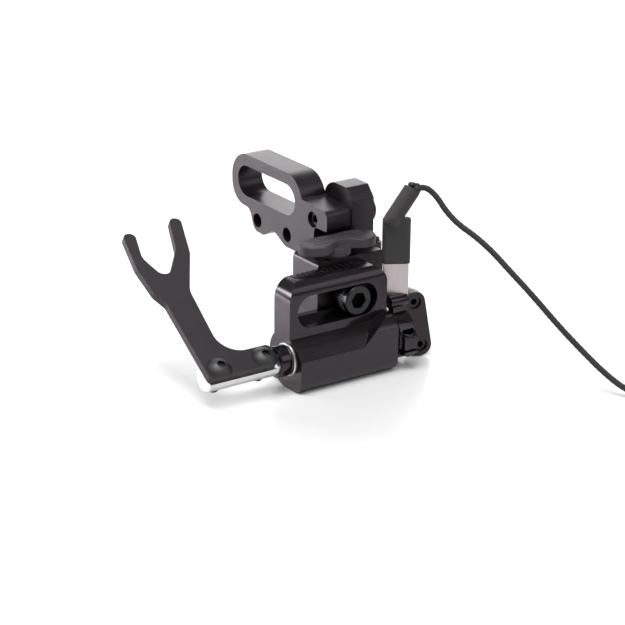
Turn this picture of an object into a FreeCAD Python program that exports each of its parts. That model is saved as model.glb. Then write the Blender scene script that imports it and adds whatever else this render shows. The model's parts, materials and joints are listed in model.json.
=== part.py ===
"""Drop-away arrow rest for a bow: a forked launcher on a sprung cross shaft, a
barrel housing that slides sideways for windage, a block and post that slide for
elevation, the bracket that bolts to the riser, and the lever, flexible arm and
cord that turn the shaft.

Everything is drawn in millimetres about the shaft: x runs along it from the
barrel's left end, y points away from the archer, and z is up from the shaft's
axis.  save() moves each shape into the part's frame, whose origin is on the
barrel's flat bottom, under the shaft and half way along the barrel.
"""
import FreeCAD, Part
import math
import os

V = FreeCAD.Vector

# ---------------------------------------------------------------- driving sizes
SHAFT_R = 3.97              # 5/16 in. shaft
RUN_FIT = 0.05              # radial clearance of a running fit
SLIDE_GAP = 0.15            # gap between faces that slide past each other
BARREL_R = 9.4              # barrel, and height of the axis over its flat bottom
BARREL_LENGTH = 36.2
BARREL_FRONT = 8.0          # front flat, from the axis
PLATE_FRONT = 1.6           # slotted plate, in front of the axis
PLATE_BACK = 6.8            # and behind it
PLATE_TOP = 24.1            # height of the plate's top over the axis
SLOT_R = 5.16               # counterbored windage slot
SLOT_START = 2.9
SLOT_END = 32.5
SLOT_Z = 14.3
WEB = 2.25                  # what the slot leaves at the plate's back
CAP_HEAD_R = 4.765          # 1/4 in. socket head cap screw
CAP_HEAD_H = 6.35
CAP_SHANK_R = 3.05
CAP_X = 25.3                # the windage screw, and the block, stay put
BUSH_R = 5.33
BUSH_LENGTH = 8.8
LAUNCHER_TILT = 30.0        # degrees that the launcher stands above level
BLADE_THICK = 2.4
SHAFT_FLAT = 1.6            # height of the flat under the launcher, over the axis
SHAFT_LEFT = 29.7           # shaft beyond the barrel's left end
SCREW_PITCH = 15.8          # between the two launcher screws
BLOCK_TOP = 25.5
POST_TOP = 44.1
TRAVEL_UP = 10.0            # elevation
BRACKET_THICK = 9.2
RISER_SLOT_R = 5.07         # slot for the 5/16 in. riser bolt
RISER_SLOT_SPAN = 22.5      # between the centres of its two round ends
RISER_HOLE_R = 2.35
RISER_HOLE_SPAN = 16.9
KNOB_LENGTH = 26.6
KNOB_THICK = 5.6
KNOB_WING_THICK = 3.6
KNOB_TURN = -1.0
HUB_R = 8.0
HUB_LENGTH = 6.4
LEVER_PITCH = 14.7          # between the two holes of the lever plate
LEVER_R = 3.56
LEVER_THICK = 3.0
ARM_WIDTH = 8.0
ARM_THICK = 1.0
ARM_TURN = 30.0             # degrees that the arm is turned about the vertical
BOOT_WALL = 1.0              # rubber over the arm's faces
BOOT_EDGE = 0.4              # and over its edges
CORD_R = 1.0

OUT = "parts"
os.makedirs(OUT, exist_ok=True)


# ---------------------------------------------------------------- small tools
def save(name, *solids):
    """Write one node, moved into the part's frame."""
    shape = solids[0] if len(solids) == 1 else Part.makeCompound(list(solids))
    shape = shape.copy()
    shape.translate(V(-BARREL_LENGTH / 2, 0, BARREL_R))
    shape.exportStep(f"{OUT}/{name}.step")
    valid = "" if shape.isValid() else "  NOT VALID"
    print(f"{name}: {shape.Volume:.1f} mm3, {len(shape.Solids)} solids{valid}")


def box(x0, x1, y0, y1, z0, z1):
    return Part.makeBox(x1 - x0, y1 - y0, z1 - z0, V(x0, y0, z0))


def rod_x(radius, x0, x1, y=0.0, z=0.0):
    return Part.makeCylinder(radius, x1 - x0, V(x0, y, z), V(1, 0, 0))


def rod_y(radius, y0, y1, x, z):
    return Part.makeCylinder(radius, y1 - y0, V(x, y0, z), V(0, 1, 0))


def rod_z(radius, z0, z1, x, y):
    return Part.makeCylinder(radius, z1 - z0, V(x, y, z0), V(0, 0, 1))


def outline(corners, place):
    """A closed wire through corners (u, v, radius), each rounded by its own arc."""
    points = [V(u, v, 0) for u, v, _ in corners]
    count = len(corners)
    spans = []
    for i, (_, _, radius) in enumerate(corners):
        here = points[i]
        back = points[i - 1] - here
        ahead = points[(i + 1) % count] - here
        back.normalize()
        ahead.normalize()
        if radius <= 0:
            spans.append((here, None, here))
            continue
        half = back.getAngle(ahead) / 2
        reach = radius / math.tan(half)
        middle = back + ahead
        middle.normalize()
        crown = here + middle * (radius / math.sin(half) - radius)
        spans.append((here + back * reach, crown, here + ahead * reach))
    edges = []
    for i, (start, crown, end) in enumerate(spans):
        a, b = place(start.x, start.y), place(end.x, end.y)
        if crown is not None:
            edges.append(Part.Arc(a, place(crown.x, crown.y), b).toShape())
        after = spans[(i + 1) % count][0]
        c = place(after.x, after.y)
        if b.distanceToPoint(c) > 1e-5:
            edges.append(Part.LineSegment(b, c).toShape())
    return Part.Wire(edges)


def prism(corners, place, depth):
    """The outline as a solid, pulled along the vector depth."""
    return Part.Face(outline(corners, place)).extrude(depth)


def slab_yz(corners, x0, x1):
    return prism(corners, lambda u, v: V(x0, u, v), V(x1 - x0, 0, 0))


def slab_xz(corners, y0, y1):
    return prism(corners, lambda u, v: V(u, y0, v), V(0, y1 - y0, 0))


def slab_xy(corners, z0, z1):
    return prism(corners, lambda u, v: V(u, v, z0), V(0, 0, z1 - z0))


def rect(u0, u1, v0, v1, radius=0.0):
    return [(u0, v0, radius), (u1, v0, radius), (u1, v1, radius), (u0, v1, radius)]


def obround(u0, u1, v, radius):
    """Corners of a slot whose round ends are centred at u0 and u1."""
    r = radius * 0.9999
    return rect(u0 - radius, u1 + radius, v - radius, v + radius, r)


def tool(shape, at, axis, turn=0.0):
    """Stand a shape drawn about +Z at a point, along an axis."""
    shape = shape.copy()
    shape.rotate(V(0, 0, 0), V(0, 0, 1), turn)
    swing = FreeCAD.Rotation(V(0, 0, 1), axis)
    shape.Placement = FreeCAD.Placement(at, swing).multiply(shape.Placement)
    return shape


def hex_rod(flats, length, z=0.0):
    ring = [V(math.cos(math.radians(60 * i + 30)), math.sin(math.radians(60 * i + 30)), 0)
            * (flats / math.sqrt(3)) + V(0, 0, z) for i in range(6)]
    return Part.Face(Part.makePolygon(ring + [ring[0]])).extrude(V(0, 0, length))


def cap_screw(head_r, head_h, shank_r, shank, key):
    """Socket head cap screw: head above z 0, shank below."""
    head = Part.makeCylinder(head_r, head_h)
    rim = [e for e in head.Edges if abs(e.BoundBox.ZMin - head_h) < 1e-6
           and abs(e.BoundBox.ZMax - head_h) < 1e-6]
    head = head.makeChamfer(head_r * 0.07, rim)
    body = head.fuse(Part.makeCylinder(shank_r, shank, V(0, 0, -shank)))
    return body.cut(hex_rod(key, head_h, head_h * 0.45))


def button_screw(head_r, head_h, shank_r, shank, key):
    """Button head screw: a low dome above z 0, shank below."""
    ball_r = (head_r ** 2 + head_h ** 2) / (2 * head_h)
    ball = Part.makeSphere(ball_r, V(0, 0, head_h - ball_r))
    dome = ball.common(Part.makeCylinder(head_r, head_h))
    body = dome.fuse(Part.makeCylinder(shank_r, shank, V(0, 0, -shank)))
    return body.cut(hex_rod(key, head_h, head_h * 0.35))


def set_screw(radius, length, key):
    """Headless socket screw, its socket at the top, z 0."""
    body = Part.makeCylinder(radius, length, V(0, 0, -length))
    return body.cut(hex_rod(key, length, -length * 0.5))


# ---------------------------------------------------------------- barrel housing
cap_seat = PLATE_BACK - WEB
block_front = PLATE_BACK + SLIDE_GAP
cavity_x0, cavity_x1 = 9.0, 27.5
CAVITY_R = 5.75
SHELF_Z = 1.2               # milled slope between the flat front and the plate
SHELF_MID_Y, SHELF_MID_Z = 5.2, 4.5
SHELF_BACK_Z = 6.6
FOOT_ROUND = 4.0
GROOVES = 13
GROOVE_PITCH = 1.9
INNER_SLOT_R = 3.5


def barrel_housing():
    barrel = rod_x(BARREL_R, 0, BARREL_LENGTH)
    foot = slab_yz([(-BARREL_FRONT, -BARREL_R, FOOT_ROUND), (2.0, -BARREL_R, 0), (2.0, 0, 0),
                    (-2.0, 5.2, 0), (-BARREL_FRONT, 5.2, 0)], 0, BARREL_LENGTH)
    wide = BARREL_R + 5
    front = box(-1, BARREL_LENGTH + 1, -wide, -BARREL_FRONT, -wide, wide)
    body = barrel.cut(front).fuse(foot)
    # the slope between the flat front and the plate, run out in a ramp at the right
    ramp = slab_xz([(-1, 0.4, 0), (22.3, 0.4, 4.0), (27.4, 5.2, 3.0), (33.0, 8.0, 6.0), (40.0, 9.2, 0),
                    (40.0, 20, 0), (-1, 20, 0)], -wide, -PLATE_FRONT)
    shelf = slab_yz([(-wide, SHELF_Z, 0), (-BARREL_FRONT, SHELF_Z, 0.8),
                     (-SHELF_MID_Y, SHELF_MID_Z, 1.0), (-PLATE_FRONT, SHELF_BACK_Z, 0),
                     (-PLATE_FRONT, 20, 0), (-wide, 20, 0)], -1, BARREL_LENGTH + 1)
    body = body.cut(ramp.common(shelf))
    # the slotted plate
    face = slab_xz([(0, -2, 0), (BARREL_LENGTH, -2, 0), (BARREL_LENGTH, PLATE_TOP, 6.0),
                    (0, PLATE_TOP, 6.0)], -PLATE_FRONT, PLATE_BACK)
    side = slab_yz([(-PLATE_FRONT, -2, 0), (PLATE_BACK, -2, 0), (PLATE_BACK, PLATE_TOP, 0.6),
                    (-PLATE_FRONT, PLATE_TOP, 4.6)], 0, BARREL_LENGTH)
    body = body.fuse(face.common(side))
    left, right = SLOT_START + SLOT_R, SLOT_END - SLOT_R
    body = body.cut(slab_xz(obround(left, right, SLOT_Z, SLOT_R), -PLATE_FRONT - 1, cap_seat))
    body = body.cut(slab_xz(obround(left, right, SLOT_Z, INNER_SLOT_R), 0, PLATE_BACK + 1))
    # windage graduations on the top
    for i in range(GROOVES):
        x = 3.0 + i * GROOVE_PITCH
        body = body.cut(box(x, x + 0.55, 2.2, PLATE_BACK + 1, PLATE_TOP - 0.4, PLATE_TOP + 1))
    # bores for the bushings and room for the spring
    body = body.cut(rod_x(BUSH_R, -1, BUSH_LENGTH + 0.2))
    body = body.cut(rod_x(CAVITY_R, cavity_x0, cavity_x1))
    body = body.cut(rod_x(BUSH_R, cavity_x1 - 1, BARREL_LENGTH + 1))
    return body.removeSplitter()


def bushing(x0, x1):
    ring = rod_x(BUSH_R, x0, x1).cut(rod_x(SHAFT_R + RUN_FIT, x0 - 1, x1 + 1))
    outer = [e for e in ring.Edges if e.Curve.TypeId == "Part::GeomCircle"
             and abs(e.Curve.Radius - BUSH_R) < 1e-6]
    return ring.makeChamfer(0.3, outer)


def return_spring():
    """Torsion spring about the shaft, its two end turns closed."""
    wire_r, turn_r, turns = 0.4, 4.9, 9
    start = cavity_x0 + 1.0
    pitch = (cavity_x1 - 1.0 - start) / turns
    helix = Part.makeHelix(pitch, pitch * turns, turn_r)
    circle = Part.Wire(Part.makeCircle(wire_r, V(turn_r, 0, 0), V(0, 1, pitch / 6.283 / turn_r)))
    coil = Part.Wire(helix).makePipeShell([circle], True, True)
    coil.rotate(V(0, 0, 0), V(0, 1, 0), 90)
    coil.translate(V(start, 0, 0))
    return Part.Solid(coil) if coil.ShapeType != "Solid" else coil


save("barrel_housing", barrel_housing())
save("left_bushing", bushing(-0.6, BUSH_LENGTH - 0.6))
save("right_bushing", bushing(BARREL_LENGTH + 0.6 - BUSH_LENGTH, BARREL_LENGTH + 0.6))
save("return_spring", return_spring())

# ---------------------------------------------------------------- launcher and shaft
tilt = math.radians(LAUNCHER_TILT)
along = V(0, math.cos(tilt), math.sin(tilt))        # up the blade, from the shaft
normal = V(0, -math.sin(tilt), math.cos(tilt))      # out of the blade's upper face
screw_x = [-25.25, -25.25 + SCREW_PITCH]
SCREW_R = 2.05
SCREW_HEAD_R = 3.95
SCREW_HEAD_H = 2.2
hub_x0 = BARREL_LENGTH + 0.9
hub_x1 = hub_x0 + HUB_LENGTH
COLLAR_X0, COLLAR_X1, COLLAR_R = -4.9, -0.95, 4.9
COLLAR_SCREW_R = 1.5
spring_pin_x = cavity_x1 - 0.5


def blade_point(u, v):
    return V(u, 0, 0) + along * v + normal * SHAFT_FLAT


BASE_LOW, BASE_HIGH = -3.05, 4.3
BLADE = [(-30.2, BASE_LOW, 1.0), (-6.3, BASE_LOW, 1.2), (-5.3, BASE_HIGH, 1.5),
         (-21.5, BASE_HIGH, 7.4), (-19.2, 30.2, 8.0), (-11.4, 44.4, 8.0), (-7.4, 58.4, 1.8),
         (-11.2, 59.2, 1.8), (-15.2, 46.8, 5.0), (-23.9, 35.6, 2.6), (-27.6, 46.2, 6.0),
         (-25.1, 56.0, 1.9), (-29.2, 57.0, 1.9), (-31.4, 43.0, 8.0), (-30.9, 32.2, 3.0),
         (-29.0, 27.4, 4.0)]


def launcher_blade():
    blade = prism(BLADE, blade_point, normal * BLADE_THICK)
    for x in screw_x:
        blade = blade.cut(tool(Part.makeCylinder(SCREW_R, 20, V(0, 0, -10)), V(x, 0, 0), normal))
    return blade


def launcher_shaft():
    shaft = rod_x(SHAFT_R, -SHAFT_LEFT, hub_x1)
    ends = [e for e in shaft.Edges if e.Curve.TypeId == "Part::GeomCircle"]
    shaft = shaft.makeChamfer(0.4, ends)
    flat = Part.makeBox(30, 20, 10, V(-34.9, -10, 0))
    flat.translate(V(0, 0, SHAFT_FLAT))
    flat.rotate(V(0, 0, 0), V(1, 0, 0), LAUNCHER_TILT)
    shaft = shaft.cut(flat)
    for x in screw_x:
        shaft = shaft.cut(tool(Part.makeCylinder(SCREW_R, 20, V(0, 0, -10)), V(x, 0, 0), normal))
    return shaft.cut(rod_z(0.8, -6, 6, spring_pin_x, 0))


def blade_screw(x):
    screw = button_screw(SCREW_HEAD_R, SCREW_HEAD_H, SCREW_R, SHAFT_FLAT + BLADE_THICK + 5.0, 2.4)
    return tool(screw, V(x, 0, 0) + normal * (SHAFT_FLAT + BLADE_THICK), normal)


collar_x = (COLLAR_X0 + COLLAR_X1) / 2
collar = rod_x(COLLAR_R, COLLAR_X0, COLLAR_X1)
collar = collar.makeChamfer(0.4, [e for e in collar.Edges if e.Curve.TypeId == "Part::GeomCircle"])
collar = collar.cut(rod_x(SHAFT_R, COLLAR_X0 - 1, COLLAR_X1 + 1))
collar_screw = tool(set_screw(COLLAR_SCREW_R, 0.75, 1.3), V(collar_x, 0, 0) + normal * (SHAFT_R + 0.75),
                    normal)
collar = collar.cut(tool(Part.makeCylinder(COLLAR_SCREW_R, 3), V(collar_x, 0, 0)
                         + normal * (SHAFT_R - 0.2), normal))

save("launcher_shaft", launcher_shaft())
save("launcher_blade", launcher_blade())
save("launcher_screws", *[blade_screw(x) for x in screw_x])
save("shaft_collar", collar)
save("collar_set_screw", collar_screw)
save("spring_pin", rod_z(0.8, -4.3, 4.3, spring_pin_x, 0))

# ---------------------------------------------------------------- lever, arm and boot
turn = math.radians(ARM_TURN)
across = V(math.cos(turn), -math.sin(turn), 0)      # along the arm's width
facing = V(-math.sin(turn), -math.cos(turn), 0)     # out of the arm's front face
UP = V(0, 0, 1)
PLATE_TURN = math.radians(14.0)
PLATE_LEAN = math.radians(9.8)
plate_across = V(math.cos(PLATE_TURN), -math.sin(PLATE_TURN), 0)
plate_facing = V(-math.sin(PLATE_TURN), -math.cos(PLATE_TURN), 0)
down_plate = plate_across * math.sin(PLATE_LEAN) - UP * math.cos(PLATE_LEAN)
side_plate = plate_across * math.cos(PLATE_LEAN) + UP * math.sin(PLATE_LEAN)
plate_top_hole = V(47.2, -1.4, 8.9)
arm_centre = V(40.65, 0.2, 0)
ARM_FOOT = 10.4
BOOT_FOOT = 22.9
BOOT_KNEE = 37.6
BOOT_TUBE_R = 2.7
knee = V(38.9, 0, 37.5)
tip = V(46.2, 0, 45.9)
BOSS_R = 2.0
boss_y, boss_z = -1.2, 11.0
CLAMP_SCREW_R = 1.2
LEVER_SCREW_R = 2.1
FERRULE_R = 1.7


def lever_point(radius_shift, front):
    """Corner maker for a lozenge on the lever plate's axes."""
    def place(u, v):
        return plate_top_hole + side_plate * u + down_plate * v - plate_facing * front
    r = LEVER_R + radius_shift
    corners = [(-r, -r, r * 0.9999), (r, -r, r * 0.9999), (r, LEVER_PITCH + r, r * 0.9999),
               (-r, LEVER_PITCH + r, r * 0.9999)]
    return corners, place


def lever_holes():
    return [plate_top_hole, plate_top_hole + down_plate * LEVER_PITCH]


def lever_plate():
    corners, place = lever_point(0, 0)
    plate = prism(corners, place, plate_facing * -LEVER_THICK)
    for hole in lever_holes():
        plate = plate.cut(tool(Part.makeCylinder(LEVER_SCREW_R, 12, V(0, 0, -6)), hole, plate_facing))
    return plate


def lever_hub():
    hub = rod_x(HUB_R, hub_x0, hub_x1)
    hub = hub.makeChamfer(0.4, [e for e in hub.Edges if e.Curve.TypeId == "Part::GeomCircle"])
    ear = slab_yz([(-HUB_R - 1.4, -4.4, 0.8), (-5.0, -4.4, 0), (-5.0, 1.8, 0),
                   (-HUB_R - 1.4, 1.8, 0.8)], hub_x0 + 0.6, hub_x1 - 0.9)
    boss = rod_x(BOSS_R, hub_x0, hub_x1 + 3.0, boss_y, boss_z)
    web = box(hub_x0 + 1.0, hub_x1, boss_y - 1.2, boss_y + 1.2, 6.0, boss_z)
    corners, place = lever_point(-0.35, LEVER_THICK)
    yoke = prism(corners, place, plate_facing * -2.6)
    stub = rod_x(5.4, hub_x1 - 1, hub_x1 + 5.0)
    ahead = Part.makeBox(60, 60, 60, V(-30, -30, 0))
    ahead = tool(ahead, plate_top_hole - plate_facing * LEVER_THICK, plate_facing)
    back = yoke.fuse(stub.fuse(boss.common(box(hub_x1, 60, -9, 9, 0, 14))).cut(ahead))
    hub = hub.fuse([ear, web, boss.common(box(0, hub_x1, -9, 9, 0, 14)), back])
    hub = hub.cut(rod_x(SHAFT_R, 0, hub_x1))
    hub = hub.cut(box(0, hub_x1 + 0.01, -HUB_R - 3, -SHAFT_R + 0.6, -3.3, -2.5))
    clamp_x = (hub_x0 + hub_x1) / 2
    hub = hub.cut(rod_z(CLAMP_SCREW_R, -5.2, 1.0, clamp_x, -7.2))
    hub = hub.cut(rod_z(2.1, 0.4, 3.5, clamp_x, -7.2))
    for hole in lever_holes():
        hub = hub.cut(tool(Part.makeCylinder(LEVER_SCREW_R, 12, V(0, 0, -6)), hole, plate_facing))
    return hub.removeSplitter()


def strip(width, thick, z0, z1, radius=0.0):
    """Upright strip turned with the arm."""
    half, deep = width / 2, thick / 2

    def place(u, v):
        return arm_centre + across * u + facing * v + UP * z0
    corners = rect(-half, half, -deep, deep, radius)
    return prism(corners, place, UP * (z1 - z0))


def arm_boot():
    width, thick = ARM_WIDTH + 2 * BOOT_EDGE, ARM_THICK + 2 * BOOT_WALL
    flat = strip(width, thick, BOOT_FOOT, BOOT_KNEE, thick * 0.45)
    lean = tip - knee
    reach = lean.Length
    lean.normalize()
    boot = flat.fuse(Part.makeSphere(BOOT_TUBE_R + 0.05, knee))
    boot = boot.fuse(Part.makeCylinder(BOOT_TUBE_R, reach, knee, lean))
    boot = boot.cut(strip(ARM_WIDTH, ARM_THICK, BOOT_FOOT - 1, BOOT_KNEE - 1.6))
    return boot.cut(ferrule(2.0))


def ferrule(spare=0.0):
    """Crimp that the cord is knotted in, at the boot's tip."""
    return rod_x(FERRULE_R, tip.x + 0.4, tip.x + 2.2 + spare, tip.y, tip.z)


hub = lever_hub()
arm = strip(ARM_WIDTH, ARM_THICK, ARM_FOOT, BOOT_KNEE - 1.6)
hub = hub.cut(arm)
lever_screws = [tool(set_screw(LEVER_SCREW_R, 4.6, 1.9), hole - plate_facing * 0.8, plate_facing)
                for hole in lever_holes()]
clamp = tool(cap_screw(1.95, 1.9, CLAMP_SCREW_R, 5.6, 1.6),
             V((hub_x0 + hub_x1) / 2, -7.2, 0.4), UP)
save("lever_hub", hub)
save("hub_clamp_screw", clamp)
save("lever_plate", lever_plate())
save("lever_set_screws", *lever_screws)
save("flex_arm", arm)
save("arm_boot", arm_boot())
save("cord_ferrule", ferrule())

# ---------------------------------------------------------------- block, knob and post
block_left = 16.0
BLOCK_RIGHT = 40.6
BLOCK_BACK = 20.4
REAR_LEFT, REAR_RIGHT, REAR_FRONT, REAR_BACK = 33.8, 45.0, 12.6, 31.0
knob_x, knob_y = 24.2, 9.5
STUD_R = 2.0
INSERT_R = 3.0
POST_LEFT, POST_RIGHT = 33.3, 41.5
POST_FRONT, POST_BACK = 13.4, 28.6
TENON = (35.1, 38.6, 15.2, 26.8)    # x0, x1, y0, y1
TENON_DEPTH = TRAVEL_UP + 12.0


def slide_block():
    front = slab_xz([(block_left, 7.8, 1.0), (BLOCK_RIGHT, 7.8, 0), (BLOCK_RIGHT, BLOCK_TOP, 0.8),
                     (block_left, BLOCK_TOP, 1.6)], block_front, BLOCK_BACK)
    leg = box(block_left + 2, BLOCK_RIGHT, 11.0, BLOCK_BACK, -BARREL_R, 10)
    rear = slab_xy(rect(REAR_LEFT, REAR_RIGHT, REAR_FRONT, REAR_BACK, 1.5), -BARREL_R, BLOCK_TOP)
    block = front.fuse([leg, rear])
    block = block.cut(rod_y(CAP_SHANK_R, 0, 17.5, CAP_X, SLOT_Z))
    block = block.cut(rod_z(STUD_R, 12.5, 30, knob_x, knob_y).cut(
        rod_z(9, 0, 17.6, knob_x, knob_y)))
    x0, x1, y0, y1 = TENON
    gap = SLIDE_GAP
    block = block.cut(box(x0 - gap, x1 + gap, y0 - gap, y1 + gap,
                          BLOCK_TOP - TENON_DEPTH - 0.6, BLOCK_TOP + 1))
    block = block.cut(rod_y(2.0, y1 + gap - 1, REAR_BACK + 1, (x0 + x1) / 2, 12.0))
    return block.removeSplitter()


def elevation_post():
    low = BLOCK_TOP + SLIDE_GAP
    face = slab_xz([(POST_LEFT, low, 0), (REAR_RIGHT - 1.0, low, 0), (REAR_RIGHT - 1.0, low + 1.3, 0.4),
                    (POST_RIGHT, low + 1.3, 2.6), (POST_RIGHT, POST_TOP, 0), (POST_LEFT, POST_TOP, 0)],
                   POST_FRONT, POST_BACK)
    side = slab_yz([(POST_FRONT, low, 0), (POST_BACK, low, 0), (POST_BACK, POST_TOP, 6.0),
                    (POST_FRONT + 3.2, POST_TOP, 0.8), (POST_FRONT, POST_TOP - 3.7, 0.8)],
                   POST_LEFT - 1, REAR_RIGHT + 1)
    x0, x1, y0, y1 = TENON
    post = face.common(side).fuse(box(x0, x1, y0, y1, BLOCK_TOP - TENON_DEPTH, low + 2))
    return post.cut(rod_x(PIVOT_R, POST_LEFT - 1, POST_RIGHT + 1, PIVOT_Y, PIVOT_Z)).removeSplitter()


def lock_knob():
    """Knob with two round lobes, waisted between them, on a round hub."""
    half = KNOB_LENGTH / 2
    top = BLOCK_TOP + 1.0 + KNOB_THICK
    wings = slab_xy([(-half, -3.8, 3.8), (-7.4, -6.2, 4.5), (-1.4, -3.2, 3.2), (2.2, -3.2, 3.2),
                     (7.6, -6.4, 4.5), (half, -4.2, 4.0), (half, 3.5, 4.2), (5.0, 3.5, 3.0),
                     (0.0, 2.4, 4.0), (-5.0, 3.7, 3.0), (-half, 3.7, 4.2)],
                    top - KNOB_WING_THICK, top)
    low = BLOCK_TOP + SLIDE_GAP
    knob = wings.fuse([Part.makeCylinder(4.9, 3.0, V(0, 0, top - KNOB_WING_THICK - 2.0)),
                       Part.makeCylinder(4.2, 2.0, V(0, 0, low))])
    knob = knob.cut(Part.makeCylinder(INSERT_R, BLOCK_TOP + 4.0 - low, V(0, 0, low)))
    knob.rotate(V(0, 0, 0), UP, KNOB_TURN)
    knob.translate(V(knob_x, knob_y, 0))
    return knob.removeSplitter()


def knob_insert():
    ring = rod_z(INSERT_R, BLOCK_TOP + SLIDE_GAP, BLOCK_TOP + 4.0, knob_x, knob_y)
    return ring.cut(rod_z(STUD_R + RUN_FIT, 0, 60, knob_x, knob_y))


# ---------------------------------------------------------------- riser bracket
bracket_left = POST_LEFT - BRACKET_THICK
slot_y0 = 36.5
slot_y1 = slot_y0 + RISER_SLOT_SPAN
SLOT_HEIGHT = 36.5
RING_R = 8.9
hole_y0 = 35.8
hole_y1 = hole_y0 + RISER_HOLE_SPAN
HOLE_HEIGHT = 24.9
PIVOT_Y, PIVOT_Z, PIVOT_R = 21.6, 34.0, 2.4
LOCK_R = 2.6                # set screw that locks the pivot, in the bracket's outer half
LOCK_DEPTH = 4.6


def riser_bracket():
    top = SLOT_HEIGHT + RING_R
    rim = [(13.9, 31.9, 0.8), (20.6, 31.9, 1.6), (21.6, 20.8, 1.0), (hole_y0 + 1.0, 20.8, 3.4),
           (43.4, 24.2, 3.0), (hole_y1 - 3.6, 20.9, 2.6), (hole_y1 + 1.9, 21.2, 3.2),
           (slot_y1 - 1.8, 27.8, 3.0), (slot_y1 + RING_R - 0.6, 28.4, 7.0),
           (slot_y1 + RING_R, top, RING_R * 0.97), (slot_y0 - RING_R, top, RING_R * 0.97),
           (slot_y0 - RING_R, 38.9, 0.8), (13.9, 38.2, 2.2)]
    plate = slab_yz(rim, bracket_left, POST_LEFT)
    slot = slab_yz(obround(slot_y0, slot_y1, SLOT_HEIGHT, RISER_SLOT_R),
                   bracket_left - 1, POST_LEFT + 1)
    plate = plate.cut(slot)
    for y in (hole_y0, hole_y1):
        plate = plate.cut(rod_x(RISER_HOLE_R, 0, 60, y, HOLE_HEIGHT))
    plate = plate.cut(rod_x(PIVOT_R, 0, 60, PIVOT_Y, PIVOT_Z))
    return plate.cut(rod_x(LOCK_R, 0, bracket_left + LOCK_DEPTH, PIVOT_Y, PIVOT_Z))


lock = tool(set_screw(LOCK_R, 3.4, 2.4), V(bracket_left + 1.0, PIVOT_Y, PIVOT_Z), V(-1, 0, 0))
pivot = tool(cap_screw(4.2, 4.2, PIVOT_R, POST_RIGHT - bracket_left - LOCK_DEPTH, 4.0),
             V(POST_RIGHT, PIVOT_Y, PIVOT_Z), V(1, 0, 0))
windage = tool(cap_screw(CAP_HEAD_R, CAP_HEAD_H - 0.1, CAP_SHANK_R, 12.0, 4.76),
               V(CAP_X, cap_seat - 0.1, SLOT_Z), V(0, -1, 0), 20)
rear_screw = tool(set_screw(2.0, 3.6, 1.9), V((TENON[0] + TENON[1]) / 2, REAR_BACK - 0.3, 12.0),
                  V(0, 1, 0))

save("slide_block", slide_block())
save("windage_screw", windage)
save("elevation_set_screw", rear_screw)
save("knob_stud", rod_z(STUD_R, 17.6, BLOCK_TOP + 3.7, knob_x, knob_y))
save("lock_knob", lock_knob())
save("knob_insert", knob_insert())
save("elevation_post", elevation_post())
save("riser_bracket", riser_bracket())
save("bracket_screw", pivot)
save("bracket_lock_screw", lock)

# ---------------------------------------------------------------- cord
# The cord's route from the ferrule to the coil, in the part's own frame.
ROUTE = [(30.9, -0.1, 55.4), (33.2, -1.0, 55.0), (34.9, -3.6, 52.6), (35.9, -7.0, 48.7),
         (37.6, -11.2, 45.3), (39.8, -15.8, 42.9), (42.4, -21.4, 39.1), (45.1, -27.6, 33.6),
         (48.6, -34.2, 27.3), (53.0, -42.0, 18.8), (56.8, -49.6, 11.9), (60.1, -56.4, 6.3),
         (63.2, -62.4, 2.5), (66.7, -67.8, 1.2), (70.2, -73.2, 1.05)]
COIL_X, COIL_Y = 80.4, -66.7
COIL_OUT, COIL_IN, COIL_LAYERS = 12.1, 8.0, 3
EASE = 0.45                 # share of the shorter run that a bend takes


def cord_tube(route, radius):
    points = [V(*p) for p in route]
    edges, here = [], points[0]
    for before, at, after in zip(points, points[1:], points[2:]):
        back, ahead = before - at, after - at
        reach = EASE * min(back.Length, ahead.Length)
        back.normalize()
        ahead.normalize()
        half = back.getAngle(ahead) / 2
        bend = reach * math.tan(half)
        middle = back + ahead
        middle.normalize()
        crown = at + middle * (bend / math.sin(half) - bend)
        start, end = at + back * reach, at + ahead * reach
        edges.append(Part.LineSegment(here, start).toShape())
        edges.append(Part.Arc(start, crown, end).toShape())
        here = end
        print(f"   cord bend radius {bend:.1f} mm")
    edges.append(Part.LineSegment(here, points[-1]).toShape())
    path = Part.Wire(edges)
    ring = Part.Wire(Part.makeCircle(radius, points[0], points[1] - points[0]))
    tube = path.makePipeShell([ring], True, False)
    print(f"   cord tube {path.Length:.1f} mm, volume / (section x length) "
          f"{tube.Volume / (math.pi * radius ** 2 * path.Length):.4f}")
    return tube if tube.ShapeType == "Solid" else Part.Solid(tube)


def cord_coil():
    tall = 2 * CORD_R * COIL_LAYERS + 0.3
    outer = Part.makeCylinder(COIL_OUT + CORD_R + 0.1, tall, V(COIL_X, COIL_Y, 0))
    return outer.cut(Part.makeCylinder(COIL_IN - CORD_R - 0.1, tall, V(COIL_X, COIL_Y, 0)))


to_shaft = V(BARREL_LENGTH / 2, 0, -BARREL_R)
tube = cord_tube(ROUTE, CORD_R)
tube.translate(to_shaft)
coil = cord_coil()
coil.translate(to_shaft)
save("cord_tube", tube)
save("cord_coil", coil)
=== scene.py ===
# %% [markdown]
# A drop-away arrow rest, finished piece by piece.
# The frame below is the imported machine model: every piece already stands in its right place and
# has its right size.  This lesson gives each piece broken edges, a finish and the small detail
# that a maker would see on the bench.
# All lengths are in metres; `mm` turns a workshop size into metres.

# %% Load the frame
import json
import math

import bmesh
import bpy
from mathutils import Matrix, Vector


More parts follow.
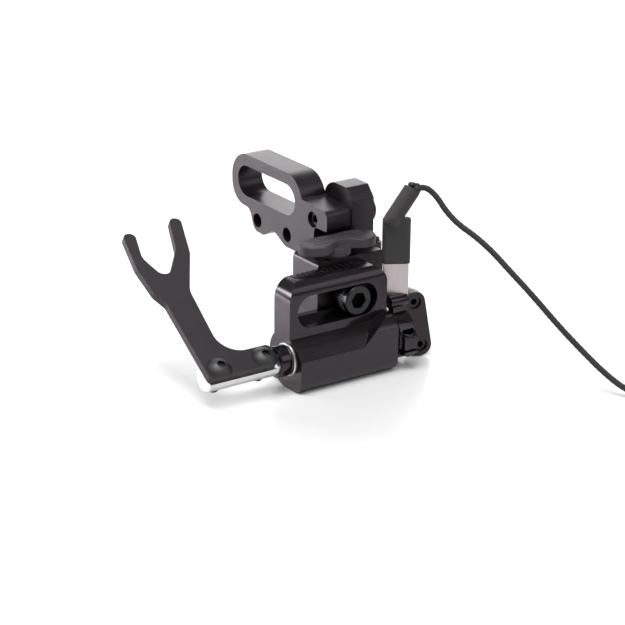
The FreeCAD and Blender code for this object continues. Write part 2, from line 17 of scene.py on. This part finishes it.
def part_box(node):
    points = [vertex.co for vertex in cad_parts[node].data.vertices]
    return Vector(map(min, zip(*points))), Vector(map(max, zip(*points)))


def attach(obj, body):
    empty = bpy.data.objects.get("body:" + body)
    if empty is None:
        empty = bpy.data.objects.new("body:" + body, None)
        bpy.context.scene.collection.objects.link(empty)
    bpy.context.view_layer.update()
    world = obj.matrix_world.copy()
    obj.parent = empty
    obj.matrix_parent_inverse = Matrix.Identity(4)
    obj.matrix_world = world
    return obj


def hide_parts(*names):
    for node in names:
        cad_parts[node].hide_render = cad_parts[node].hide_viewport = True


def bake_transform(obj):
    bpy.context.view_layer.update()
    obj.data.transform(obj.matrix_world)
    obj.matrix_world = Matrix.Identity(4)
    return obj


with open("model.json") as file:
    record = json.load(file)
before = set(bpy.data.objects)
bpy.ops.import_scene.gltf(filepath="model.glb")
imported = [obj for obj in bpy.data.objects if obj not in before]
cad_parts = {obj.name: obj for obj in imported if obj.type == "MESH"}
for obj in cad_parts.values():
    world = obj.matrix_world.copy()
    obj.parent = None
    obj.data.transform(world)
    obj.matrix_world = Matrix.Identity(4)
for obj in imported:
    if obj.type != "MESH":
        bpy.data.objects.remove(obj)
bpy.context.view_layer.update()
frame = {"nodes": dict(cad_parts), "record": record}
mm = 0.001

# %% [markdown]
# Shader maths is easiest to read as a formula.  A small class wraps one socket, and Python's
# own operators add the Math nodes.  A second class starts a finish: one Principled shader, the
# piece's Object coordinates, and one method that adds any other node.

# %% Shader maths written as formulas
class Wire:
    """One output socket; +, -, * and / on it add Math nodes."""

    def __init__(self, finish, socket):
        self.finish, self.socket = finish, socket

    def maths(self, operation, *others):
        return self.finish.node("ShaderNodeMath", {"operation": operation}, [self, *others])

    def __add__(self, other):
        return self.maths("ADD", other)

    def __sub__(self, other):
        return self.maths("SUBTRACT", other)

    def __rsub__(self, other):
        return self.finish.node("ShaderNodeMath", {"operation": "SUBTRACT"}, [other, self])

    def __mul__(self, other):
        return self.maths("MULTIPLY", other)

    def __truediv__(self, other):
        return self.maths("DIVIDE", other)

    __radd__, __rmul__ = __add__, __mul__


class Finish:
    """A material: a Principled shader and what feeds it."""

    def __init__(self, name, colour, roughness, metallic=0.0, **shader):
        self.material = bpy.data.materials.new(name)
        self.material.use_nodes = True
        self.tree = self.material.node_tree
        self.shader = self.tree.nodes["Principled BSDF"]
        self.shader.inputs["Base Color"].default_value = (*colour, 1)
        self.shader.inputs["Roughness"].default_value = roughness
        self.shader.inputs["Metallic"].default_value = metallic
        for socket, value in shader.items():
            self.shader.inputs[socket.replace("_", " ")].default_value = value
        self.material.diffuse_color = (*colour, 1)
        self.place = self.node("ShaderNodeTexCoord", out="Object")

    def node(self, kind, settings=None, values=(), out=0):
        """Add a node; settings are set first, then its sockets by place or by name."""
        made = self.tree.nodes.new(kind)
        for name, value in (settings or {}).items():
            if name == "stops":
                ramp = made.color_ramp.elements
                for stop, (at, grey) in zip(ramp, value):
                    stop.position, stop.color = at, (grey, grey, grey, 1)
            else:
                setattr(made, name, value)
        pairs = values.items() if isinstance(values, dict) else enumerate(values)
        for socket, value in pairs:
            if isinstance(value, Wire):
                self.tree.links.new(value.socket, made.inputs[socket])
            else:
                made.inputs[socket].default_value = value
        return Wire(self, made.outputs[out])

    def noise(self, size, detail=3.0, stretch=(1, 1, 1)):
        """Noise whose blots are about size metres across, drawn out along an axis."""
        scaled = self.node("ShaderNodeMapping", {}, {"Vector": self.place, "Scale": stretch})
        return self.node("ShaderNodeTexNoise", {},
                         {"Vector": scaled, "Scale": 1 / size, "Detail": detail}, out="Fac")

    def feed(self, socket, wire):
        self.tree.links.new(wire.socket, self.shader.inputs[socket])

    def tint(self, mask, dark, light):
        """Base colour that runs from dark to light with the mask."""
        mixed = self.node("ShaderNodeMix", {"data_type": "RGBA"},
                          {0: mask, 6: (*dark, 1), 7: (*light, 1)}, out=2)
        self.feed("Base Color", mixed)

    def bump(self, height, depth):
        """Bump of the given depth in metres."""
        self.feed("Normal", self.node("ShaderNodeBump", {},
                                      {"Height": height, "Distance": depth, "Strength": 1.0}))


print("shader helpers ready")

# %% [markdown]
# The block, housing, post and bracket are aluminium, milled, tumbled and anodised black.  The
# dyed layer is glassy, so it is a dielectric whose sheen is faintly lilac, and the tumbled metal
# under it shows as a fine unevenness of the gloss.

# %% Black anodised finishes
def anodised(name, colour, roughness, grain, depth):
    finish = Finish(name, colour, roughness, IOR=1.5, Specular_Tint=(1.0, 0.84, 0.95, 1.0))
    cloud = finish.noise(grain * 9)
    fine = finish.noise(grain, 4.0)
    finish.feed("Roughness", cloud * 0.10 + fine * 0.10 + (roughness - 0.10))
    finish.tint(cloud, [c * 0.75 for c in colour], [c * 1.3 for c in colour])
    finish.bump(fine, depth)
    return finish.material


gloss_black = anodised("anodised_gloss_black", (0.010, 0.0085, 0.0100), 0.33, 0.45 * mm, 0.002 * mm)
housing_black = anodised("anodised_bright_black", (0.0060, 0.0052, 0.0060), 0.21, 0.45 * mm, 0.001 * mm)
blade_black = anodised("anodised_matt_black", (0.013, 0.0125, 0.013), 0.52, 0.30 * mm, 0.006 * mm)
collar_black = anodised("polished_black", (0.003, 0.003, 0.003), 0.13, 0.6 * mm, 0.001 * mm)
lever_brown = anodised("brown_black", (0.008, 0.005, 0.0045), 0.34, 0.35 * mm, 0.004 * mm)
print("anodised finishes:", gloss_black.name, blade_black.name, collar_black.name, lever_brown.name)

# %% [markdown]
# The shaft is ground steel, so its marks run round it.  The flexible arm is rolled strip, whose
# marks run up it.  Noise that is drawn out along one axis gives both.

# %% Steel, brass and black oxide
def metal(name, colour, roughness, size, stretch, depth):
    finish = Finish(name, colour, roughness, metallic=1.0)
    lines = finish.noise(size, 4.0, stretch)
    finish.feed("Roughness", lines * 0.16 + (roughness - 0.08))
    finish.tint(lines, [c * 0.82 for c in colour], [min(1.0, c * 1.12) for c in colour])
    finish.bump(lines, depth)
    return finish.material


shaft_steel = metal("ground_steel", (0.66, 0.66, 0.67), 0.24, 0.25 * mm, (1, 0.06, 0.06), 0.003 * mm)
strip_steel = metal("rolled_strip", (0.56, 0.50, 0.50), 0.36, 0.25 * mm, (1, 1, 0.05), 0.003 * mm)
bush_metal = metal("turned_bush", (0.62, 0.61, 0.59), 0.30, 0.25 * mm, (0.3, 1, 1), 0.004 * mm)
insert_brass = metal("turned_brass", (0.55, 0.40, 0.16), 0.32, 0.2 * mm, (1, 1, 0.3), 0.003 * mm)
black_oxide = metal("black_oxide", (0.045, 0.045, 0.048), 0.33, 0.35 * mm, (1, 1, 1), 0.004 * mm)
satin_oxide = metal("satin_oxide", (0.085, 0.082, 0.085), 0.50, 0.35 * mm, (1, 1, 1), 0.004 * mm)
print("metals:", shaft_steel.name, strip_steel.name, bush_metal.name, black_oxide.name)

# %% [markdown]
# The knob is moulded nylon with a spark-eroded grain, and the boot is dull rubber.

# %% Moulded finishes
def moulded(name, colour, roughness, grain, depth, **shader):
    finish = Finish(name, colour, roughness, **shader)
    fine = finish.noise(grain, 5.0)
    cloud = finish.noise(grain * 14)
    finish.feed("Roughness", fine * 0.14 + (roughness - 0.07))
    finish.tint(cloud, [c * 0.8 for c in colour], [c * 1.25 for c in colour])
    finish.bump(fine, depth)
    return finish.material


knob_nylon = moulded("moulded_nylon", (0.031, 0.027, 0.031), 0.48, 0.22 * mm, 0.016 * mm)
boot_rubber = moulded("boot_rubber", (0.031, 0.028, 0.029), 0.66, 0.35 * mm, 0.020 * mm)
crimp_black = moulded("crimp_black", (0.010, 0.010, 0.011), 0.30, 0.3 * mm, 0.010 * mm)
print("moulded finishes:", knob_nylon.name, boot_rubber.name, crimp_black.name)

# %% [markdown]
# A machined edge is never perfectly sharp: it is broken with a file or by tumbling, and that
# narrow band is what catches the light.  The frame's mesh is loose triangles, so each piece is
# copied, its doubles are merged, flat faces are joined, and the sharp edges are bevelled.

# %% Break the edges of every machined piece
def solid_copy(node):
    """A merged copy of a frame node as a new object, its flat faces joined."""
    mesh = bpy.data.meshes.new(f"{node}_finished")
    work = bmesh.new()
    work.from_mesh(frame["nodes"][node].data)
    bmesh.ops.remove_doubles(work, verts=work.verts, dist=0.002 * mm)
    bmesh.ops.dissolve_limit(work, angle_limit=math.radians(0.4), verts=work.verts, edges=work.edges)
    work.to_mesh(mesh)
    work.free()
    for layer in ("custom_normal", "sharp_edge", "sharp_face"):
        if layer in mesh.attributes:
            mesh.attributes.remove(mesh.attributes[layer])
    piece = bpy.data.objects.new(f"{node}_finished", mesh)
    bpy.context.scene.collection.objects.link(piece)
    return piece


def freeze(piece):
    """Turn what the modifiers show into the piece's own mesh."""
    shown = piece.evaluated_get(bpy.context.evaluated_depsgraph_get())
    mesh = bpy.data.meshes.new_from_object(shown)
    piece.modifiers.clear()
    piece.data = mesh
    return piece


def broken_edges(node, width, finish):
    piece = solid_copy(node)
    bevel = piece.modifiers.new("broken edge", "BEVEL")
    bevel.width, bevel.segments = width, 2
    bevel.limit_method, bevel.angle_limit = "ANGLE", math.radians(33)
    bevel.use_clamp_overlap = True
    bevel.harden_normals = True
    for face in piece.data.polygons:
        face.use_smooth = True
    freeze(piece)
    piece.data.materials.clear()
    piece.data.materials.append(finish)
    return piece


bodies = frame["record"]["behaviour"]["bodies"]
body_of_node = {node: body for body, nodes in bodies.items() for node in nodes}
EDGES = {
    "barrel_housing": (0.20, housing_black), "slide_block": (0.28, gloss_black),
    "elevation_post": (0.28, gloss_black), "riser_bracket": (0.35, gloss_black),
    "launcher_blade": (0.30, blade_black), "lever_hub": (0.18, collar_black),
    "shaft_collar": (0.18, collar_black), "lever_plate": (0.25, lever_brown),
    "windage_screw": (0.12, black_oxide), "launcher_screws": (0.10, satin_oxide),
    "bracket_screw": (0.12, black_oxide), "bracket_lock_screw": (0.10, black_oxide),
    "hub_clamp_screw": (0.06, black_oxide), "lever_set_screws": (0.10, black_oxide),
    "elevation_set_screw": (0.08, black_oxide), "collar_set_screw": (0.06, black_oxide),
    "launcher_shaft": (0.10, shaft_steel), "left_bushing": (0.12, bush_metal),
    "right_bushing": (0.12, bush_metal), "knob_stud": (0.15, shaft_steel),
    "knob_insert": (0.12, insert_brass), "flex_arm": (0.12, strip_steel),
    "cord_ferrule": (0.25, crimp_black),
}
for node, (width, finish) in EDGES.items():
    piece = broken_edges(node, width * mm, finish)
    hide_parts(node)
    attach(piece, body_of_node[node])
print("pieces with broken edges:", len(EDGES))

# %% [markdown]
# The spring and its pin are inside the barrel, so they keep their own mesh and get a finish.

# %% Hidden steel
for node in ("return_spring", "spring_pin"):
    inner = frame["nodes"][node]
    inner.data.materials.clear()
    inner.data.materials.append(strip_steel)
print("inner pieces:", "return_spring", "spring_pin")

# %% [markdown]
# The boot is dipped rubber and the knob is moulded, so nothing on them is crisp: one surface
# flows into the next.  Remeshing the frame's solid into small even cells and smoothing it gives
# that flow.  A moulded knob is also slightly crowned, so it sheds light like a pebble.

# %% Soft-edged pieces: the rubber boot and the knob
def softened(node, cell, rounds, finish):
    piece = solid_copy(node)
    remesh = piece.modifiers.new("even cells", "REMESH")
    remesh.mode, remesh.voxel_size = "VOXEL", cell
    soften = piece.modifiers.new("soften", "SMOOTH")
    soften.factor, soften.iterations = 0.6, rounds
    freeze(piece)
    piece.data.materials.clear()
    piece.data.materials.append(finish)
    for face in piece.data.polygons:
        face.use_smooth = True
    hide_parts(node)
    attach(piece, body_of_node[node])
    return piece


boot = softened("arm_boot", 0.22 * mm, 9, boot_rubber)
knob = softened("lock_knob", 0.26 * mm, 7, knob_nylon)
KNOB_CROWN = 0.9 * mm
CROWN_LONG, CROWN_WIDE = 0.45, 0.8      # how fast the top falls away along and across the knob
knob_low, knob_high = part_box("lock_knob")
knob_middle = (knob_low + knob_high) / 2
half_long = (knob_high.x - knob_low.x) / 2
half_wide = (knob_high.y - knob_low.y) / 2


def crown_drop(along, across):
    """How far the crowned top lies below its middle at this offset from the knob's centre."""
    fall = CROWN_LONG * (along / half_long) ** 2 + CROWN_WIDE * (across / half_wide) ** 2
    return KNOB_CROWN * min(1.0, fall)


for vertex in knob.data.vertices:
    up_share = max(0.0, (vertex.co.z - knob_middle.z) / (knob_high.z - knob_middle.z))
    vertex.co.z -= up_share * crown_drop(vertex.co.x - knob_middle.x, vertex.co.y - knob_middle.y)
print("boot faces:", len(boot.data.polygons), "knob faces:", len(knob.data.polygons))

# %% [markdown]
# Three raised lines run in a wave along the knob's top, for grip.  They are one line repeated,
# so Geometry Nodes makes one line, bends it with a sine and places the copies.

# %% Raised lines on the knob
def node_group(name, inputs):
    """A Geometry Nodes group with named inputs and one Geometry output."""
    group = bpy.data.node_groups.new(name, "GeometryNodeTree")
    for label, kind, value in inputs:
        made = group.interface.new_socket(label, in_out="INPUT", socket_type=kind)
        if value is not None:
            made.default_value = value
    group.interface.new_socket("Geometry", in_out="OUTPUT", socket_type="NodeSocketGeometry")
    return group


def add(group, kind, settings=None, **links):
    """Add a node; each keyword is a socket (spaces as _) and its value or source socket."""
    made = group.nodes.new(kind)
    for name, value in (settings or {}).items():
        setattr(made, name, value)
    for label, value in links.items():
        by_place = label[1:].isdigit()
        socket = made.inputs[int(label[1:]) if by_place else label.replace("_", " ")]
        if isinstance(value, bpy.types.NodeSocket):
            group.links.new(value, socket)
        else:
            socket.default_value = value
    return made


def grown(name, group, values, finish):
    """Run a group on an empty mesh and keep what it makes as a plain mesh."""
    piece = bpy.data.objects.new(name, bpy.data.meshes.new(name))
    bpy.context.scene.collection.objects.link(piece)
    grow = piece.modifiers.new("grow", "NODES")
    grow.node_group = group
    for item in group.interface.items_tree:
        if item.in_out == "INPUT" and item.name in values:
            grow[item.identifier] = values[item.name]
        if item.in_out == "INPUT" and item.name == "Finish":
            grow[item.identifier] = finish
    freeze(piece)
    return piece


def ridge_group():
    group = node_group("knob ridges", [
        ("Count", "NodeSocketInt", 3), ("Spacing", "NodeSocketFloat", 0.0017),
        ("Length", "NodeSocketFloat", 0.019), ("Thickness", "NodeSocketFloat", 0.0003),
        ("Wave", "NodeSocketFloat", 0.0009), ("Finish", "NodeSocketMaterial", None)])
    given = add(group, "NodeGroupInput").outputs
    half = add(group, "ShaderNodeMath", {"operation": "MULTIPLY"}, _0=given["Length"], _1=0.5)
    back = add(group, "ShaderNodeMath", {"operation": "MULTIPLY"}, _0=given["Length"], _1=-0.5)
    start = add(group, "ShaderNodeCombineXYZ", X=back.outputs[0])
    end = add(group, "ShaderNodeCombineXYZ", X=half.outputs[0])
    line = add(group, "GeometryNodeCurvePrimitiveLine", Start=start.outputs[0], End=end.outputs[0])
    fine = add(group, "GeometryNodeResampleCurve", Curve=line.outputs[0], Count=40)
    where = add(group, "GeometryNodeInputPosition")
    parts = add(group, "ShaderNodeSeparateXYZ", Vector=where.outputs[0])
    share = add(group, "ShaderNodeMath", {"operation": "DIVIDE"}, _0=parts.outputs[0], _1=given["Length"])
    angle = add(group, "ShaderNodeMath", {"operation": "MULTIPLY"}, _0=share.outputs[0], _1=2 * math.pi)
    sine = add(group, "ShaderNodeMath", {"operation": "SINE"}, _0=angle.outputs[0])
    swing = add(group, "ShaderNodeMath", {"operation": "MULTIPLY"}, _0=sine.outputs[0], _1=given["Wave"])
    offset = add(group, "ShaderNodeCombineXYZ", Y=swing.outputs[0])
    bent = add(group, "GeometryNodeSetPosition", Geometry=fine.outputs[0], Offset=offset.outputs[0])
    ring = add(group, "GeometryNodeCurvePrimitiveCircle", Resolution=8, Radius=given["Thickness"])
    ridge = add(group, "GeometryNodeCurveToMesh", Curve=bent.outputs[0], Fill_Caps=True)
    group.links.new(ring.outputs[0], ridge.inputs["Profile Curve"])
    step = add(group, "ShaderNodeCombineXYZ", Y=given["Spacing"])
    less = add(group, "ShaderNodeMath", {"operation": "SUBTRACT"}, _0=given["Count"], _1=1.0)
    span = add(group, "ShaderNodeMath", {"operation": "MULTIPLY"}, _0=less.outputs[0], _1=given["Spacing"])
    first = add(group, "ShaderNodeMath", {"operation": "MULTIPLY"}, _0=span.outputs[0], _1=-0.5)
    origin = add(group, "ShaderNodeCombineXYZ", Y=first.outputs[0])
    rows = add(group, "GeometryNodeMeshLine", Count=given["Count"], Offset=step.outputs[0])
    group.links.new(origin.outputs[0], rows.inputs["Start Location"])
    copies = add(group, "GeometryNodeInstanceOnPoints", Points=rows.outputs[0], Instance=ridge.outputs[0])
    real = add(group, "GeometryNodeRealizeInstances", Geometry=copies.outputs[0])
    coat = add(group, "GeometryNodeSetMaterial", Geometry=real.outputs[0], Material=given["Finish"])
    add(group, "NodeGroupOutput", Geometry=coat.outputs[0])
    return group


ridges = grown("knob_ridges", ridge_group(), {}, knob_nylon)
RIDGE_SUNK = 0.12 * mm
for vertex in ridges.data.vertices:
    height = knob_high.z - RIDGE_SUNK - crown_drop(vertex.co.x, vertex.co.y)
    vertex.co += Vector((knob_middle.x, knob_middle.y, height))
for face in ridges.data.polygons:
    face.use_smooth = True
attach(ridges, "knob")
print("ridge faces:", len(ridges.data.polygons))

# %% [markdown]
# The windage screw's head is knurled so that it can be spun in by hand, and the boot is pinched
# round the ferrule in a ring of small bumps.  Both are one small shape repeated round a circle.

# %% Knurl and crimp
def ring_group():
    group = node_group("shapes round a ring", [
        ("Count", "NodeSocketInt", 36), ("Ring Radius", "NodeSocketFloat", 0.005),
        ("Size", "NodeSocketVector", None), ("Finish", "NodeSocketMaterial", None)])
    given = add(group, "NodeGroupInput").outputs
    ring = add(group, "GeometryNodeMeshCircle", Vertices=given["Count"], Radius=given["Ring Radius"])
    ball = add(group, "GeometryNodeMeshUVSphere", Segments=8, Rings=6, Radius=1.0)
    copies = add(group, "GeometryNodeInstanceOnPoints", Points=ring.outputs[0],
                 Instance=ball.outputs[0], Scale=given["Size"])
    real = add(group, "GeometryNodeRealizeInstances", Geometry=copies.outputs[0])
    coat = add(group, "GeometryNodeSetMaterial", Geometry=real.outputs[0], Material=given["Finish"])
    add(group, "NodeGroupOutput", Geometry=coat.outputs[0])
    return group


def stand(piece, at, axis, body):
    """Turn a piece made about +Z onto an axis and move it, all in its mesh."""
    turn = Vector(axis).to_track_quat("Z", "Y").to_matrix().to_4x4()
    piece.data.transform(Matrix.Translation(at) @ turn)
    for face in piece.data.polygons:
        face.use_smooth = True
    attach(piece, body)
    return piece


rings = ring_group()
screw_low, screw_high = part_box("windage_screw")
head_radius = (screw_high.z - screw_low.z) / 2
screw_axis = Vector(((screw_low.x + screw_high.x) / 2, 0, (screw_low.z + screw_high.z) / 2))
KNURL_LENGTH = 4.2 * mm
KNURL_MIDDLE = 3.2 * mm      # behind the head's face
RIB_R, RIB_SUNK = 0.22 * mm, 0.07 * mm
knurl = grown("windage_screw_knurl", rings, {
    "Count": 44, "Ring Radius": head_radius - RIB_SUNK,
    "Size": (RIB_R, RIB_R, KNURL_LENGTH / 2)}, black_oxide)
stand(knurl, screw_axis + Vector((0, screw_low.y + KNURL_MIDDLE, 0)), (0, 1, 0), "block")

crimp_low, crimp_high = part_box("cord_ferrule")
crimp_at = Vector((crimp_low.x + 0.1 * mm, (crimp_low.y + crimp_high.y) / 2,
                   (crimp_low.z + crimp_high.z) / 2))
crimp = grown("boot_crimp", rings, {"Count": 7, "Ring Radius": 1.75 * mm,
                                    "Size": (0.75 * mm, 0.75 * mm, 0.85 * mm)}, boot_rubber)
stand(crimp, crimp_at, (1, 0, 0.35), "shaft")
print("knurl faces:", len(knurl.data.polygons), "crimp faces:", len(crimp.data.polygons))

# %% [markdown]
# The cord is braided nylon, 2 mm thick.  Its line is the route that was settled with the
# machine model, and a NURBS curve through those points is smooth.  The part that is put away
# lies in a small coil of three layers, whose turns a loop works out.

# %% The cord's line
CORD_R = 1.0 * mm
CORD_EXIT = Vector((0.0301, 0.0, 0.0553))
ROUTE_MM = [(30.9, -0.1, 55.4), (33.2, -1.0, 55.0), (34.9, -3.6, 52.6), (35.9, -7.0, 48.7),
            (37.6, -11.2, 45.3), (39.8, -15.8, 42.9), (42.4, -21.4, 39.1), (45.1, -27.6, 33.6),
            (48.6, -34.2, 27.3), (53.0, -42.0, 18.8), (56.8, -49.6, 11.9), (60.1, -56.4, 6.3),
            (63.2, -62.4, 2.5), (66.7, -67.8, 1.2), (70.2, -73.2, 1.05)]
COIL_CENTRE = Vector((80.4, -66.7, 0)) * mm
COIL_START = math.radians(212.0)
COIL_OUT, COIL_IN = 12.1 * mm, 8.0 * mm
COIL_LAYERS, TURNS_A_LAYER, POINTS_A_TURN = 3, 2, 24
LAYER_RISE = 2.1 * mm
CLIMB = 1 / 5               # share of a turn in which the cord climbs to the next layer


def coil_points():
    points, angle = [], COIL_START
    step = 1 / POINTS_A_TURN
    for layer in range(COIL_LAYERS):
        start, end = (COIL_OUT, COIL_IN) if layer % 2 == 0 else (COIL_IN, COIL_OUT)
        for i in range(1, TURNS_A_LAYER * POINTS_A_TURN + 1):
            turn = i * step
            angle += 2 * math.pi * step
            across = max(0.0, turn - CLIMB) / (TURNS_A_LAYER - CLIMB)
            radius = start + (end - start) * across
            climb = min(1.0, turn / CLIMB) if layer else 1.0
            climb = climb * climb * (3 - 2 * climb)
            height = 1.05 * mm + LAYER_RISE * (layer - 1 + climb)
            points.append(COIL_CENTRE + Vector((radius * math.cos(angle),
                                                radius * math.sin(angle), height)))
    return points


line_points = [CORD_EXIT] + [Vector(p) * mm for p in ROUTE_MM] + coil_points()
line = bpy.data.curves.new("cord_line", "CURVE")
line.dimensions = "3D"
line.resolution_u = 10
spline = line.splines.new("NURBS")
spline.points.add(len(line_points) - 1)
for point, at in zip(spline.points, line_points):
    point.co = (*at, 1)
spline.order_u = 3
spline.use_endpoint_u = True
line_object = bpy.data.objects.new("cord_line", line)
bpy.context.scene.collection.objects.link(line_object)
bpy.context.view_layer.update()
centreline = line_object.to_mesh()
line_at = [v.co.copy() for v in centreline.vertices]
line_object.to_mesh_clear()
bpy.data.objects.remove(line_object)

# %% [markdown]
# The braid's strands stand up as real small lobes.  The line is divided evenly, a frame is
# carried along it without twist, and each ring's radius rises and falls where one strand
# passes over another.

# %% The braided cord
BRAID_STEP = 0.28 * mm
BRAID_SIDES = 18
BRAID_STRANDS = 6
BRAID_PITCH = 3.4 * mm
BRAID_RELIEF = 0.055 * mm


def even_points(points, step):
    out, left = [points[0]], step
    for a, b in zip(points, points[1:]):
        run = (b - a).length
        while run >= left:
            a = a.lerp(b, left / run)
            out.append(a)
            run -= left
            left = step
        left -= run
    return out


def braided_tube(name, points, radius):
    mesh = bpy.data.meshes.new(name)
    work = bmesh.new()
    uv_layer = work.loops.layers.uv.new("braid")
    heading = (points[1] - points[0]).normalized()
    side = heading.orthogonal().normalized()
    rings, along = [], 0.0
    for i, at in enumerate(points):
        ahead = (points[min(i + 1, len(points) - 1)] - points[max(i - 1, 0)]).normalized()
        side = (side - ahead * side.dot(ahead)).normalized()
        other = ahead.cross(side)
        if i:
            along += (at - points[i - 1]).length
        ring = []
        for k in range(BRAID_SIDES):
            turn = 2 * math.pi * k / BRAID_SIDES
            wave = 2 * math.pi * along / BRAID_PITCH
            over = math.cos(BRAID_STRANDS / 2 * turn + wave) * math.cos(BRAID_STRANDS / 2 * turn - wave)
            reach = radius - BRAID_RELIEF + BRAID_RELIEF * over
            ring.append(work.verts.new(at + (side * math.cos(turn) + other * math.sin(turn)) * reach))
        rings.append((ring, along))
    for (low, a), (high, b) in zip(rings, rings[1:]):
        for k in range(BRAID_SIDES):
            n = (k + 1) % BRAID_SIDES
            face = work.faces.new((low[k], low[n], high[n], high[k]))
            face.smooth = True
            for loop, (u, v) in zip(face.loops, ((k, a), (k + 1, a), (k + 1, b), (k, b))):
                loop[uv_layer].uv = (u / BRAID_SIDES, v / (2 * math.pi * radius))
    work.faces.new(reversed(rings[0][0]))
    work.faces.new(rings[-1][0])
    work.to_mesh(mesh)
    work.free()
    tube = bpy.data.objects.new(name, mesh)
    bpy.context.scene.collection.objects.link(tube)
    return tube


def braid_finish():
    """Black nylon: each strand is a bundle of fine fibres that run along it."""
    finish = Finish("braided_nylon", (0.014, 0.014, 0.015), 0.55, Sheen_Weight=0.25)
    uv = finish.node("ShaderNodeUVMap", {"uv_map": "braid"})
    split = finish.node("ShaderNodeSeparateXYZ", {}, [uv])
    across, up = split, Wire(finish, split.socket.node.outputs[1])
    fibres = (across * 150.0 + up * 55.0).maths("SINE") * 0.5 + 0.5
    crossed = (across * 150.0 - up * 55.0).maths("SINE") * 0.5 + 0.5
    both = fibres * crossed
    finish.tint(both, (0.006, 0.006, 0.006), (0.024, 0.024, 0.026))
    finish.feed("Roughness", both * -0.15 + 0.65)
    finish.bump(both, 0.03 * mm)
    return finish.material


cord = braided_tube("draw_cord", even_points(line_at, BRAID_STEP), CORD_R)
cord.data.materials.append(braid_finish())
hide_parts("cord_tube", "cord_coil")
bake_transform(cord)
print("cord faces:", len(cord.data.polygons))

# %% [markdown]
# A pale table under one large overhead light and a dim white surround.  Black gloss shows only
# what it mirrors, so two wide lights stand behind the object, where its tops and its left faces
# mirror them, and one small light gives the edges a glint.

# %% Table, lights and surround
def pale_table(half=3.0):
    mesh = bpy.data.meshes.new("table")
    mesh.from_pydata([(-half, -half, 0), (half, -half, 0), (half, half, 0), (-half, half, 0)], [],
                     [(0, 1, 2, 3)])
    finish = Finish("pale_table", (0.86, 0.86, 0.86), 0.28)
    mesh.materials.append(finish.material)
    table = bpy.data.objects.new("table", mesh)
    bpy.context.scene.collection.objects.link(table)
    return table


def soft_light(name, place, aim, size, power):
    lamp = bpy.data.lights.new(name, "AREA")
    lamp.shape, lamp.size, lamp.energy = "SQUARE", size, power
    light = bpy.data.objects.new(name, lamp)
    bpy.context.scene.collection.objects.link(light)
    light.location = place
    light.rotation_euler = (Vector(aim) - Vector(place)).to_track_quat("-Z", "Y").to_euler()
    return light


pale_table()
middle = (0.0, 0.02, 0.03)
soft_light("overhead", (-0.25, -0.10, 1.1), middle, 0.7, 11)
soft_light("front right", (0.9, -0.9, 0.7), middle, 0.7, 2)
soft_light("top sheen", (0.59, 0.86, 0.44), middle, 0.9, 5.6)
soft_light("left sheen", (-0.62, 0.82, 0.16), middle, 0.34, 6)
soft_light("glint", (-0.05, -0.75, 0.95), middle, 0.06, 1.8)
world = bpy.data.worlds.new("surround")
bpy.context.scene.world = world
world.use_nodes = True
world.node_tree.nodes["Background"].inputs["Color"].default_value = (1, 1, 1, 1)
world.node_tree.nodes["Background"].inputs["Strength"].default_value = 0.27
bpy.context.scene.view_settings.view_transform = "Standard"

# %% [markdown]
# The camera looks down on the launcher's side from the front left, through a long lens, so the
# shapes are hardly drawn together with distance.

# %% Camera
camera_data = bpy.data.cameras.new("camera")
camera_data.lens = 132.7
camera_data.sensor_width = 36.0
camera_data.clip_start = 0.01
camera = bpy.data.objects.new("camera", camera_data)
bpy.context.scene.collection.objects.link(camera)
right = Vector((0.8226, -0.5686, 0.0094)).normalized()
back = Vector((-0.5336, -0.7660, 0.3584)).normalized()
up = back.cross(right).normalized()
right = up.cross(back)
camera.matrix_world = Matrix(((right.x, up.x, back.x, -0.3810), (right.y, up.y, back.y, -0.5344),
                              (right.z, up.z, back.z, 0.2726), (0, 0, 0, 1)))
bpy.context.scene.camera = camera
print("camera at", [round(v, 3) for v in camera.location])
